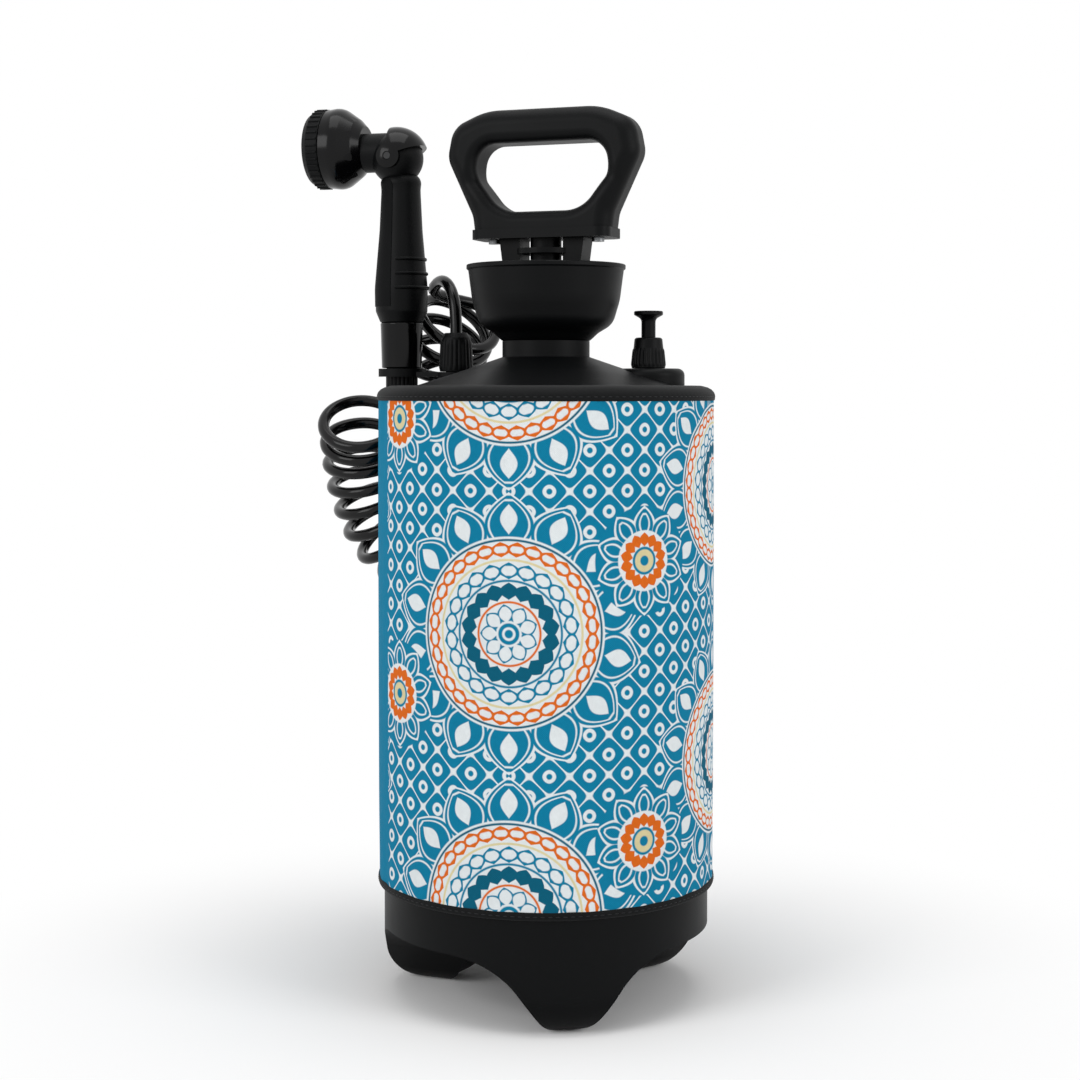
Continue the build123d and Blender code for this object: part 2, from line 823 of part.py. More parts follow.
# Relief valve: a fluted nut, and a stem that a spring holds down on its seal
relief_nut_bottom = relief_pad_height + seat_gap
with BuildPart() as relief_nut:
    turn(
        [
            (relief_cavity_radius, relief_nut_bottom, 0),
            (relief_nut_radius, relief_nut_bottom, 0.5),
            (relief_nut_top_radius, relief_nut_top, 1.6),
            (relief_stem_radius + fit, relief_nut_top, 0.4),
            (relief_stem_radius + fit, relief_cavity_top, 0),
            (relief_cavity_radius, relief_cavity_top, 0),
        ],
        relief_plane,
        relief_axis,
    )
relief_nut.part.label = "relief_nut"
export_step(relief_nut.part, "parts/relief_nut.step")

seal_bottom = relief_pad_height + seat_gap
seal_top = seal_bottom + relief_seal_thickness
collar_top = seal_top + relief_collar_thickness
stem_collar_radius = relief_cavity_radius - 0.5
with BuildPart() as relief_seal:
    turn(
        [
            (0, seal_bottom, 0),
            (stem_collar_radius, seal_bottom, 0.3),
            (stem_collar_radius, seal_top, 0),
            (0, seal_top, 0),
        ],
        relief_plane,
        relief_axis,
    )
relief_seal.part.label = "relief_seal"
export_step(relief_seal.part, "parts/relief_seal.step")

with BuildPart() as relief_stem:
    turn(
        [
            (0, seal_top, 0),
            (stem_collar_radius, seal_top, 0),
            (stem_collar_radius, collar_top, 0),
            (relief_stem_radius, collar_top, 0),
            (relief_stem_radius, relief_button_height - 4.5, 3.0),
            (relief_button_radius, relief_button_height - 2.2, 0.6),
            (relief_button_radius, relief_button_height, 0.8),
            (0, relief_button_height, 0),
        ],
        relief_plane,
        relief_axis,
    )
relief_stem.part.label = "relief_stem"
export_step(relief_stem.part, "parts/relief_stem.step")

spring_bottom = collar_top + spring_wire_radius + fit
spring_height = relief_cavity_top - spring_wire_radius - fit - spring_bottom
spring_radius = (relief_stem_radius + relief_cavity_radius) / 2
with BuildPart() as relief_spring:
    with BuildLine() as coil_line:
        Helix(
            pitch=spring_height / spring_turns,
            height=spring_height,
            radius=spring_radius,
            center=(relief_x, relief_y, spring_bottom),
        )
    wire = coil_line.wire()
    with BuildSketch(Plane(origin=wire @ 0, z_dir=wire % 0)):
        Circle(spring_wire_radius)
    sweep(path=wire, is_frenet=True)
relief_spring.part.label = "relief_spring"
export_step(relief_spring.part, "parts/relief_spring.step")

# Outlet: a threaded spigot through the pad, its gasket, and the fluted nut that grips the hose
outlet_seal_thickness = 1.4
spigot_flange_top = pad_underside - outlet_seal_thickness - 2 * fit
holder_bottom = outlet_pad_height + seat_gap
outlet_nut_bottom = holder_bottom + holder_plate_thickness + seat_gap
stub_radius = dip_tube_bore_radius - fit
dip_tube_top = spigot_flange_top - spigot_flange_thickness - fit
with BuildPart() as outlet_spigot:
    turn(
        [
            (spigot_bore_radius, dip_tube_top - 12, 0),
            (stub_radius, dip_tube_top - 12, 0.3),
            (stub_radius, dip_tube_top + fit, 0),
            (spigot_flange_radius, dip_tube_top + fit, 0.4),
            (spigot_flange_radius, spigot_flange_top, 0.4),
            (spigot_radius, spigot_flange_top, 0),
            (spigot_radius, spigot_top, 0.6),
            (spigot_bore_radius, spigot_top, 0),
        ],
        outlet_plane,
        outlet_axis,
    )
outlet_spigot.part.label = "outlet_spigot"
export_step(outlet_spigot.part, "parts/outlet_spigot.step")

with BuildPart() as outlet_gasket:
    turn(
        [
            (spigot_radius + fit, spigot_flange_top + fit, 0),
            (spigot_flange_radius, spigot_flange_top + fit, 0.3),
            (spigot_flange_radius, pad_underside - fit, 0.3),
            (spigot_radius + fit, pad_underside - fit, 0),
        ],
        outlet_plane,
        outlet_axis,
    )
outlet_gasket.part.label = "outlet_gasket"
export_step(outlet_gasket.part, "parts/outlet_gasket.step")

flute_depth = 0.6
outlet_flute_count = 20
with BuildPart() as outlet_nut:
    turn(
        [
            (spigot_radius + fit, outlet_nut_bottom, 0),
            (outlet_nut_radius, outlet_nut_bottom, 0.6),
            (outlet_nut_radius - 1.2, outlet_nut_top - 3, 2.0),
            (outlet_nut_top_radius, outlet_nut_top, 0.4),
            (hose_radius - 1, outlet_nut_top, 0),
            (hose_radius - 1, spigot_top + fit, 0),
            (spigot_radius + fit, spigot_top + fit, 0),
        ],
        outlet_plane,
        outlet_axis,
    )
outlet_nut.part.label = "outlet_nut"
export_step(outlet_nut.part, "parts/outlet_nut.step")

# Dip tube down to the bottom of the tank, with a slotted strainer
with BuildPart() as dip_tube:
    with BuildSketch(Plane.XY.offset(dip_tube_bottom)):
        with Locations((outlet_x, outlet_y)):
            Circle(dip_tube_radius)
            Circle(dip_tube_bore_radius, mode=Mode.SUBTRACT)
    extrude(amount=dip_tube_top - dip_tube_bottom)
dip_tube.part.label = "dip_tube"
export_step(dip_tube.part, "parts/dip_tube.step")

strainer_top = strainer_bottom + strainer_height
with BuildPart() as dip_strainer:
    turn(
        [
            (0, strainer_bottom, 0),
            (strainer_radius, strainer_bottom, 1.5),
            (strainer_radius, strainer_top, 0.6),
            (dip_tube_radius + fit, strainer_top, 0),
            (dip_tube_radius + fit, dip_tube_bottom - fit, 0),
            (dip_tube_bore_radius, dip_tube_bottom - fit, 0),
            (dip_tube_bore_radius, strainer_bottom + 1.5, 0),
            (0, strainer_bottom + 1.5, 0),
        ],
        outlet_plane,
        outlet_axis,
    )
    slot_height = dip_tube_bottom - strainer_bottom - 3.5
    with BuildSketch(Plane.XY.offset(strainer_bottom + 1.7)):
        with Locations((outlet_x, outlet_y)):
            with PolarLocations(strainer_radius, strainer_slot_count):
                Rectangle(2 * (strainer_radius - dip_tube_bore_radius) + 1, 1.6)
    extrude(amount=slot_height, mode=Mode.SUBTRACT)
dip_strainer.part.label = "dip_strainer"
export_step(dip_strainer.part, "parts/dip_strainer.step")

# Holder, a plate held under the outlet nut, with an open ring that the handset stands in
hand_plane_axis, hand_axis = upright(handset_x, handset_y)
reach = Vector(handset_x - outlet_x, handset_y - outlet_y, 0)
reach_angle = math.degrees(math.atan2(reach.Y, reach.X))
mouth_angle = 180 - handset_turn
holder_top = collar_bottom - running_gap
with BuildPart() as handset_holder:
    with BuildSketch(Plane.XY.offset(holder_bottom)):
        with Locations((outlet_x, outlet_y)):
            Circle(outlet_nut_radius + 1.5)
        with Locations(Location((outlet_x, outlet_y, 0), reach_angle)):
            Rectangle(reach.length, 15, align=(Align.MIN, Align.CENTER))
        with Locations((handset_x, handset_y)):
            Circle(holder_ring_radius)
    extrude(amount=holder_plate_thickness)
    with BuildSketch(Plane.XY.offset(holder_bottom)):
        with Locations((handset_x, handset_y)):
            Circle(holder_ring_radius)
    extrude(amount=holder_top - holder_bottom)
    with BuildSketch(Plane.XY.offset(holder_bottom)):
        with Locations((handset_x, handset_y)):
            Circle(holder_ring_bore)
        with Locations(Location((handset_x, handset_y, 0), mouth_angle)):
            Rectangle(2 * holder_ring_radius, holder_mouth, align=(Align.MIN, Align.CENTER))
        with Locations((outlet_x, outlet_y)):
            Circle(spigot_radius + 2 * fit)
    extrude(amount=holder_top, mode=Mode.SUBTRACT)
handset_holder.part.label = "handset_holder"
export_step(handset_holder.part, "parts/handset_holder.step")

# Hose nut under the handset, and the collar that stands on the holder's ring
hose_nut_top = collar_bottom - fit
with BuildPart() as hose_nut:
    turn(
        [
            (0, hose_nut_bottom, 0),
            (hose_nut_radius - 1.2, hose_nut_bottom, 0.4),
            (hose_nut_radius, hose_nut_bottom + 3, 1.0),
            (hose_nut_radius, hose_nut_top, 0),
            (0, hose_nut_top, 0),
        ],
        hand_plane_axis,
        hand_axis,
    )
hose_nut.part.label = "hose_nut"
export_step(hose_nut.part, "parts/hose_nut.step")

collar_top_height = grip_bottom - fit
with BuildPart() as handset_collar:
    turn(
        [
            (0, collar_bottom, 0),
            (collar_radius - 0.6, collar_bottom, 0.8),
            (collar_radius, collar_top_height - 4, 8.0),
            (collar_radius + 0.2, collar_top_height, 1.0),
            (0, collar_top_height, 0),
        ],
        hand_plane_axis,
        hand_axis,
    )
handset_collar.part.label = "handset_collar"
export_step(handset_collar.part, "parts/handset_collar.step")

# Handset: its own plane runs through the grip and the head
hand_angle = math.radians(handset_turn)
hand_plane = Plane(
    origin=(handset_x, handset_y, 0),
    x_dir=(-math.cos(hand_angle), math.sin(hand_angle), 0),
    z_dir=(math.sin(hand_angle), math.cos(hand_angle), 0),
)
head_axis = Axis((handset_x, handset_y, head_height), hand_plane.x_dir)


def grip_outline(proud):
    """Side of the grip, from its foot to its neck, made larger by proud all round."""
    return [
        (0, grip_bottom, 0),
        (grip_bottom_radius + proud, grip_bottom, 1.0),
        (grip_wide_radius - 0.2 + proud, grip_bottom + 6.5, 4.0),
        (grip_wide_radius + proud, grip_bottom + 20, 60.0),
        (grip_neck_radius + 1.2 + proud, grip_neck_height - 25, 90.0),
        (grip_neck_radius + proud, grip_neck_height, 22.0),
        (grip_neck_radius + 1.6 + proud, grip_neck_height + 9, 6.0),
        (0, grip_neck_height + 9, 0),
    ]


def inlay_region():
    """The front of the grip that the soft inlay covers, seen from the side."""
    with BuildSketch(hand_plane) as region:
        with BuildLine():
            FilletPolyline(
                (1.5, inlay_bottom),
                (grip_wide_radius + 8, inlay_bottom),
                (grip_wide_radius + 8, inlay_top),
                (1.5, inlay_top),
                radius=[0, 0, 4.0, 5.0],
                close=True,
            )
        make_face()
    return region.sketch


grip_rib_radius = 1.1
grip_taper = (grip_wide_radius - grip_neck_radius - 1.2) / (grip_neck_height - 45 - grip_bottom)
with BuildPart() as inlay_space:
    turn(grip_outline(inlay_proud), hand_plane_axis, hand_axis)
    turn(grip_outline(-inlay_thickness), hand_plane_axis, hand_axis, Mode.SUBTRACT)
    extrude(inlay_region(), amount=grip_wide_radius + 5, both=True, mode=Mode.INTERSECT)

# Three ribs on the grip's back, for the palm
with BuildPart() as grip_ribs:
    for rib_height in grip_rib_heights:
        rib_place = grip_wide_radius - grip_taper * max(0, rib_height - grip_bottom - 20)
        with Locations((handset_x, handset_y, rib_height)):
            Torus(rib_place, grip_rib_radius)
    with BuildSketch(hand_plane) as back_half:
        with Locations((-1.5, grip_bottom)):
            Rectangle(2 * grip_wide_radius, 60, align=(Align.MAX, Align.MIN))
    extrude(back_half.sketch, amount=2 * grip_wide_radius, both=True, mode=Mode.INTERSECT)

with BuildPart() as handset_grip:
    turn(grip_outline(0), hand_plane_axis, hand_axis)
    add(grip_ribs.part)
    with Locations(hand_plane * Location((ball_offset, ball_height, 0))):
        Sphere(ball_radius)
    arm_start = hand_plane.location * Location((ball_offset, head_height - arm_drop, 0), (0, 90, 0))
    with BuildSketch(Plane(arm_start)):
        Circle(arm_radius)
    extrude(amount=arm_end - fit - ball_offset)
    add(inlay_space.part, mode=Mode.SUBTRACT)
    with BuildSketch(hand_plane) as pin_hole:
        with Locations((ball_offset, ball_height)):
            Circle(pivot_radius)
    extrude(pin_hole.sketch, amount=2 * ball_radius, both=True, mode=Mode.SUBTRACT)
handset_grip.part.label = "handset_grip"
export_step(handset_grip.part, "parts/handset_grip.step")

grip_inlay = inlay_space
grip_inlay.part.label = "grip_inlay"
export_step(grip_inlay.part, "parts/grip_inlay.step")

# Spray head: a faceted bell on the arm, a ribbed ring that turns, and the nozzle face in it
head_middle = Vector(handset_x, handset_y, head_height)
head_section = Plane(origin=head_middle, x_dir=(0, 0, 1), z_dir=hand_plane.x_dir)
with BuildPart() as spray_bell:
    turn(
        [
            (bell_back, head_height, 0),
            (bell_back, head_height + arm_radius + 1.4, 1.0),
            (bell_back + 4.0, head_height + bell_radius - 7.0, 5.0),
            (bell_wide, head_height + bell_radius, 10.0),
            (bell_front, head_height + bell_radius - 1.0, 0.5),
            (bell_front, head_height, 0),
        ],
        hand_plane,
        head_axis,
    )
    for facet in range(bell_facets):
        facet_angle = 2 * math.pi * (facet + 0.5) / bell_facets
        across = Vector(0, 0, 1) * math.cos(facet_angle)
        across += hand_plane.z_dir * math.sin(facet_angle)
        facet_normal = across * math.cos(bell_slope) - hand_plane.x_dir * math.sin(bell_slope)
        facet_middle = head_middle + hand_plane.x_dir * bell_back + across * bell_facet_radius
        split(bisect_by=Plane(origin=facet_middle, z_dir=facet_normal), keep=Keep.BOTTOM)
    turn(
        [
            (bell_back + 5.0, head_height, 0),
            (bell_back + 5.0, head_height + 6.0, 2.0),
            (bell_wide - 2.0, head_height + bell_radius - bell_wall - 4.5, 6.0),
            (bell_front + 1, head_height + bell_radius - bell_wall - 3.0, 0),
            (bell_front + 1, head_height, 0),
        ],
        hand_plane,
        head_axis,
        Mode.SUBTRACT,
    )
    with BuildSketch(head_section.offset(bell_back - 1)):
        Circle(5.0)
    extrude(amount=8, mode=Mode.SUBTRACT)
spray_bell.part.label = "spray_bell"
export_step(spray_bell.part, "parts/spray_bell.step")

ring_back = bell_front + running_gap
face_front = ring_front - 0.6
with BuildPart() as spray_ring:
    turn(
        [
            (ring_back, head_height + face_radius + fit, 0),
            (ring_back, head_height + ring_radius, 0.6),
            (ring_front - 3.0, head_height + ring_radius, 2.0),
            (ring_front + 0.6, head_height + ring_radius - 2.6, 1.0),
            (ring_front + 0.6, head_height + face_radius - 0.6, 0.4),
            (face_front, head_height + face_radius - 0.6, 0),
            (face_front, head_height + face_radius + fit, 0),
        ],
        hand_plane,
        head_axis,
    )
    with BuildSketch(head_section.offset(ring_back + 0.8)):
        with PolarLocations(ring_radius, ring_rib_count):
            Circle(ring_rib_radius)
    extrude(amount=ring_front - ring_back - 3.8)
spray_ring.part.label = "spray_ring"
export_step(spray_ring.part, "parts/spray_ring.step")

# Nozzle face, a shallow dome with rings of small holes
face_dome = 3.2
with BuildPart() as nozzle_face:
    turn(
        [
            (ring_back + 2, head_height, 0),
            (ring_back + 2, head_height + face_radius, 0),
            (face_front - fit, head_height + face_radius, 0),
            (face_front - fit, head_height + face_radius - 1.2, 0),
            (face_front + face_dome, head_height + 6.0, 20.0),
            (face_front + face_dome, head_height, 0),
        ],
        hand_plane,
        head_axis,
    )
    turn(
        [
            (ring_back + 2, head_height, 0),
            (ring_back + 2, head_height + face_radius - 2, 0),
            (face_front - 2.4, head_height + face_radius - 2, 0),
            (face_front + face_dome - 2.2, head_height, 0),
        ],
        hand_plane,
        head_axis,
        Mode.SUBTRACT,
    )
    with BuildSketch(head_section.offset(ring_back + 2)):
        for circle_radius, hole_count in ((5.0, 6), (10.0, 12), (15.0, 18)):
            with PolarLocations(circle_radius, hole_count):
                Circle(nozzle_radius)
    extrude(amount=ring_front - ring_back + 6, mode=Mode.SUBTRACT)
nozzle_face.part.label = "nozzle_face"
export_step(nozzle_face.part, "parts/nozzle_face.step")

# Thumb lever, a bail over the ball of the grip, on a pin through the ball
ball_place = hand_plane * Location((ball_offset, ball_height, 0))
lever_inner = ball_radius + lever_gap
lever_outer = lever_inner + lever_thickness
with BuildPart() as thumb_lever:
    with Locations(ball_place):
        Sphere(lever_outer)
        Sphere(lever_inner, mode=Mode.SUBTRACT)
    with BuildSketch(hand_plane) as lever_shape:
        with BuildLine():
            start = PolarLine((ball_offset, ball_height), lever_outer + 4, lever_start)
            sector = CenterArc(
                (ball_offset, ball_height), lever_outer + 4, lever_start, lever_end - lever_start
            )
            Line(sector @ 1, (ball_offset, ball_height))
        make_face()
        with Locations((ball_offset, ball_height)):
            Circle(lever_boss_radius)
    extrude(lever_shape.sketch, amount=lever_outer + 2, both=True, mode=Mode.INTERSECT)
    with BuildSketch(hand_plane) as lever_hole:
        with Locations((ball_offset, ball_height)):
            Circle(pivot_radius)
    extrude(lever_hole.sketch, amount=lever_outer + 2, both=True, mode=Mode.SUBTRACT)
thumb_lever.part.label = "thumb_lever"
export_step(thumb_lever.part, "parts/thumb_lever.step")

# Pin through the ball, which the lever turns on
with BuildPart() as lever_pin:
    with BuildSketch(hand_plane):
        with Locations((ball_offset, ball_height)):
            Circle(pivot_radius - pin_play)
    extrude(amount=lever_outer - 0.5, both=True)
    fillet(lever_pin.edges().filter_by(GeomType.CIRCLE), 0.5)
lever_pin.part.label = "lever_pin"
export_step(lever_pin.part, "parts/lever_pin.step")

# Hose: the curly part as one thick coil, and a plain tail at each of its ends
with BuildPart() as hose_coil:
    lay_coil(coil_route, coil_radius, "hose_coil")
hose_coil.part.label = "hose_coil"
export_step(hose_coil.part, "parts/hose_coil.step")

with BuildPart() as hose_tail_handset:
    lay_tube(handset_tail_route, hose_radius, "hose_tail_handset")
hose_tail_handset.part.label = "hose_tail_handset"
export_step(hose_tail_handset.part, "parts/hose_tail_handset.step")

with BuildPart() as hose_tail_outlet:
    lay_tube(outlet_tail_route, hose_radius, "hose_tail_outlet")
hose_tail_outlet.part.label = "hose_tail_outlet"
export_step(hose_tail_outlet.part, "parts/hose_tail_outlet.step")
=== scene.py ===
import math

import bpy
import numpy as np
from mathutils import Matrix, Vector


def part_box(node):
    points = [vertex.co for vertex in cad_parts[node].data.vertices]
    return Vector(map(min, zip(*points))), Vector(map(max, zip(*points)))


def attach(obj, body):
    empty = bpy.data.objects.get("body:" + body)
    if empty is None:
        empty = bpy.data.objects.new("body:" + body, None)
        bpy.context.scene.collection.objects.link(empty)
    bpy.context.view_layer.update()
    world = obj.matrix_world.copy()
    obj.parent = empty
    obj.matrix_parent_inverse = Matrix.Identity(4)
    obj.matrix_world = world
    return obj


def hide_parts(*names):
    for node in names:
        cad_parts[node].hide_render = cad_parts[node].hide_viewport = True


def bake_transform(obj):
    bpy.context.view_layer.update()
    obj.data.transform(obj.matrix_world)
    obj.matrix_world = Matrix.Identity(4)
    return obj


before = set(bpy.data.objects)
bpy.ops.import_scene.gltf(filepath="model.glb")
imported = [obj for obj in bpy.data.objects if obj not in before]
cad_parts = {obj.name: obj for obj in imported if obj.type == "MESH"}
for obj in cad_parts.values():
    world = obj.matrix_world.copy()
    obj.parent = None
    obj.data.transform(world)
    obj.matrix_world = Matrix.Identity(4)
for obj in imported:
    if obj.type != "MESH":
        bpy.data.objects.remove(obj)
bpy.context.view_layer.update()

scene = bpy.context.scene

# Camera: a long lens about a metre away, level with the shoulder of the tank.
# It looks down a little, and a small shift keeps the sides nearly upright.
camera_data = bpy.data.cameras.new("camera")
camera_data.lens = 65.83
camera_data.sensor_width = 36.0
camera_data.shift_y = -0.07
camera_data.clip_end = 20.0
camera = bpy.data.objects.new("camera", camera_data)
camera.location = (-0.0034, -1.120, 0.343)
camera.rotation_euler = (math.radians(87.81), 0, 0)
scene.collection.objects.link(camera)
scene.camera = camera


# Tank, funnel, pump, handle, valve and outlet: moulded polypropylene and polyethylene.
# They keep their solids, with the satin face that a fine etched mould gives.
def linear(code):
    """Linear colour from an sRGB hex code."""
    channels = [int(code[place:place + 2], 16) / 255 for place in (1, 3, 5)]
    lit = [c / 12.92 if c <= 0.04045 else ((c + 0.055) / 1.055) ** 2.4 for c in channels]
    return (*lit, 1.0)


def add_node(tree, kind, inputs, **settings):
    """Adds a shader node. An input is a constant or another node's output socket."""
    made = tree.nodes.new(kind)
    for key, value in settings.items():
        setattr(made, key, value)
    pairs = inputs.items() if isinstance(inputs, dict) else enumerate(inputs)
    for key, value in pairs:
        if isinstance(value, bpy.types.NodeSocket):
            tree.links.new(value, made.inputs[key])
        else:
            made.inputs[key].default_value = value
    return made


def moulded(name, code, roughness, grain_size, grain_depth, specular, metallic=0.0, sheen=0.0):
    """A surface with a fine grain in its relief and slow changes in its gloss."""
    made = bpy.data.materials.new(name)
    made.use_nodes = True
    tree = made.node_tree
    tree.nodes.clear()
    place = add_node(tree, "ShaderNodeTexCoord", {}).outputs["Object"]
    grain = add_node(
        tree, "ShaderNodeTexNoise", {"Vector": place, "Scale": 1 / grain_size, "Detail": 3.0}
    ).outputs[0]
    cloud = add_node(
        tree, "ShaderNodeTexNoise", {"Vector": place, "Scale": 24.0, "Detail": 3.0}
    ).outputs[0]
    gloss = add_node(
        tree, "ShaderNodeMath", (cloud, 0.2, roughness - 0.1), operation="MULTIPLY_ADD"
    ).outputs[0]
    relief = add_node(
        tree, "ShaderNodeBump", {"Height": grain, "Strength": 0.6, "Distance": grain_depth}
    ).outputs[0]
    face = add_node(
        tree,
        "ShaderNodeBsdfPrincipled",
        {
            "Base Color": linear(code),
            "Roughness": gloss,
            "Normal": relief,
            "Metallic": metallic,
            "Sheen Weight": sheen,
            "Specular IOR Level": specular,
        },
    ).outputs[0]
    add_node(tree, "ShaderNodeOutputMaterial", {"Surface": face})
    return made


def finish_nodes(finish, *nodes):
    """Gives one finish to CAD nodes that keep their own shape."""
    for node in nodes:
        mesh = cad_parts[node].data
        mesh.materials.clear()
        mesh.materials.append(finish)


# Black polypropylene from an etched mould: soft broad highlights, faintly cool
satin_black = moulded("black_polypropylene_etched", "#060708", 0.45, 0.0005, 0.00007, 0.11)
finish_nodes(
    satin_black,
    "tank", "filler_funnel", "pump_cap", "rod_bush", "pump_cylinder", "cylinder_end_plug",
    "piston_rod", "piston", "handle_base", "handle_loop", "relief_nut", "relief_stem",
    "outlet_spigot", "outlet_nut", "dip_strainer", "handset_holder", "hose_nut",
    "handset_grip", "spray_ring", "nozzle_face",
)
# Polished ABS of the shower head, its lever and the collar: small sharp highlights
gloss_black = moulded("black_abs_polished", "#040405", 0.15, 0.003, 0.00001, 0.2)
finish_nodes(gloss_black, "handset_collar", "spray_bell", "thumb_lever")
# Moulded rubber of the grip's inlay and of the seals: matt
matt_rubber = moulded("black_rubber_moulded", "#08090A", 0.66, 0.0004, 0.00006, 0.09)
finish_nodes(
    matt_rubber,
    "pump_gasket", "foot_valve", "piston_cup", "relief_seal", "outlet_gasket", "grip_inlay",
)
# Extruded PVC of the dip tube: pale and half gloss
finish_nodes(moulded("pale_pvc_extruded", "#C9CCCB", 0.35, 0.002, 0.00002, 0.5), "dip_tube")
# Zinc-plated steel of the screws and the spring, and blackened steel of the pin
zinc_steel = moulded("zinc_plated_steel", "#8A8C8E", 0.38, 0.0011, 0.00002, 0.5, metallic=1.0)
finish_nodes(zinc_steel, "handle_screws", "relief_spring")
black_steel = moulded("blackened_steel", "#141517", 0.4, 0.0011, 0.00002, 0.3)
finish_nodes(black_steel, "lever_pin")

# Sleeve: 3 mm neoprene with a printed knit face, cut flat and closed at the seam.
# It is stretched over the tank, and ripples only beside its bound edges.
sleeve_low, sleeve_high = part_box("sleeve")
sleeve_radius = sleeve_high.x
girth = 2 * math.pi * sleeve_radius
cloth_thickness = 0.0024
columns = 4
cell = girth / columns

print_cloth = bpy.data.materials.new("neoprene_printed_knit")
print_cloth.use_nodes = True
ink = print_cloth.node_tree
ink.nodes.clear()
edge_blur = 0.004


def calc(operation, *values):
    """The result of one step of arithmetic on the print's values."""
    return add_node(ink, "ShaderNodeMath", values, operation=operation).outputs[0]


def clamp(value):
    """The value, kept between nought and one."""
    return add_node(ink, "ShaderNodeClamp", {"Value": value}).outputs[0]


def within(depth, inset=0.0):
    """One where a point lies deeper than the inset, with a slightly soft edge."""
    return clamp(calc("MULTIPLY_ADD", depth, 1 / edge_blur, 0.5 - inset / edge_blur))


def paint(mask, below, above):
    """The colour above where the mask is one, and the colour below elsewhere."""
    made = add_node(ink, "ShaderNodeMix", {"Factor": mask}, data_type="RGBA")
    for socket, value in ((made.inputs[6], below), (made.inputs[7], above)):
        if isinstance(value, bpy.types.NodeSocket):
            ink.links.new(value, socket)
        else:
            socket.default_value = value
    return made.outputs[2]


def polar(across, up):
    """Radius and angle of a point in its cell."""
    squares = calc("ADD", calc("MULTIPLY", across, across), calc("MULTIPLY", up, up))
    return calc("SQRT", squares), calc("ARCTAN2", up, across)


def disc(radius, edge):
    """How deep a point lies in a disc."""
    return calc("SUBTRACT", edge, radius)


def band(radius, inner, outer):
    """How deep a point lies in a ring."""
    return calc("MINIMUM", calc("SUBTRACT", radius, inner), calc("SUBTRACT", outer, radius))


def leaves(radius, angle, count, inner, outer, fullness):
    """How deep a point lies in one of a ring of leaves, pointed at both ends."""
    share = calc("FRACT", calc("MULTIPLY_ADD", angle, count / (2 * math.pi), float(count)))
    aside = calc("ABSOLUTE", calc("SUBTRACT", share, 0.5))
    along = clamp(calc("MULTIPLY_ADD", radius, 1 / (outer - inner), -inner / (outer - inner)))
    half = calc("MULTIPLY", calc("SINE", calc("MULTIPLY", along, math.pi)), fullness / 2)
    arc = calc("MULTIPLY", radius, 2 * math.pi / count)
    from_side = calc("MULTIPLY", calc("SUBTRACT", half, aside), arc)
    return calc("MINIMUM", from_side, band(radius, inner, outer))


chalk = linear("#E6ECEE")
teal = linear("#067DA2")
deep_teal = linear("#045E79")
orange = linear("#DF6A1B")
cream = linear("#E0D3A3")

column_shift = 0.633
row_shift = 0.559
place = add_node(ink, "ShaderNodeUVMap", {}, uv_map="print").outputs[0]
split = add_node(ink, "ShaderNodeSeparateXYZ", {"Vector": place})
turn_share, level = split.outputs[0], split.outputs[1]
around = calc("MULTIPLY_ADD", turn_share, float(columns), column_shift)
height = calc("MULTIPLY_ADD", level, 1 / cell, row_shift)
odd = calc("MODULO", calc("FLOOR", around), 2.0)
across = calc("SUBTRACT", calc("FRACT", around), 0.5)
up = calc("SUBTRACT", calc("FRACT", calc("MULTIPLY_ADD", odd, 0.5, height)), 0.5)
true_radius, angle = polar(across, up)
radius = calc("MULTIPLY", true_radius, calc("MULTIPLY_ADD", odd, -0.12, 1.12))

# Ground: a white net with dots on teal, about 21 mm from knot to knot
net_repeats = 7
wave_across = calc("COSINE", calc("MULTIPLY", around, 2 * net_repeats * math.pi))
wave_up = calc("COSINE", calc("MULTIPLY", height, 2 * net_repeats * math.pi))
net = calc("ADD", wave_across, wave_up)
net_size = calc("ABSOLUTE", net)
colour = paint(clamp(calc("MULTIPLY_ADD", net_size, -9.0, 1.7)), teal, chalk)
colour = paint(clamp(calc("MULTIPLY_ADD", net_size, 8.0, -11.5)), colour, chalk)
colour = paint(clamp(calc("MULTIPLY_ADD", net_size, 14.0, -26.0)), colour, teal)

# Large rosettes: long leaves round a disc of nested rings
long_leaf = leaves(radius, angle, 14, 0.25, 0.497, 1.18)
for inset, tone in ((0.0, chalk), (0.011, teal), (0.024, chalk), (0.031, teal)):
    colour = paint(within(long_leaf, inset), colour, tone)
colour = paint(within(leaves(radius, angle, 14, 0.35, 0.455, 0.34)), colour, chalk)
colour = paint(within(disc(radius, 0.342)), colour, chalk)
colour = paint(within(band(radius, 0.326, 0.334)), colour, deep_teal)
bead = leaves(radius, angle, 32, 0.270, 0.324, 1.35)
colour = paint(within(bead), colour, orange)
colour = paint(within(bead, 0.0155), colour, chalk)
colour = paint(within(band(radius, 0.256, 0.264)), colour, cream)
mid_leaf = leaves(radius, angle, 22, 0.192, 0.252, 1.25)
colour = paint(within(mid_leaf), colour, teal)
colour = paint(within(mid_leaf, 0.013), colour, chalk)
colour = paint(within(band(radius, 0.183, 0.191)), colour, teal)
colour = paint(within(leaves(radius, angle, 18, 0.12, 0.181, 1.3)), colour, deep_teal)
colour = paint(within(band(radius, 0.108, 0.116)), colour, orange)
heart_leaf = leaves(radius, angle, 9, 0.025, 0.106, 1.3)
colour = paint(within(heart_leaf), colour, teal)
colour = paint(within(heart_leaf, 0.009), colour, chalk)
for edge, tone in ((0.046, chalk), (0.038, teal), (0.024, chalk), (0.015, teal)):
    colour = paint(within(disc(radius, edge)), colour, tone)

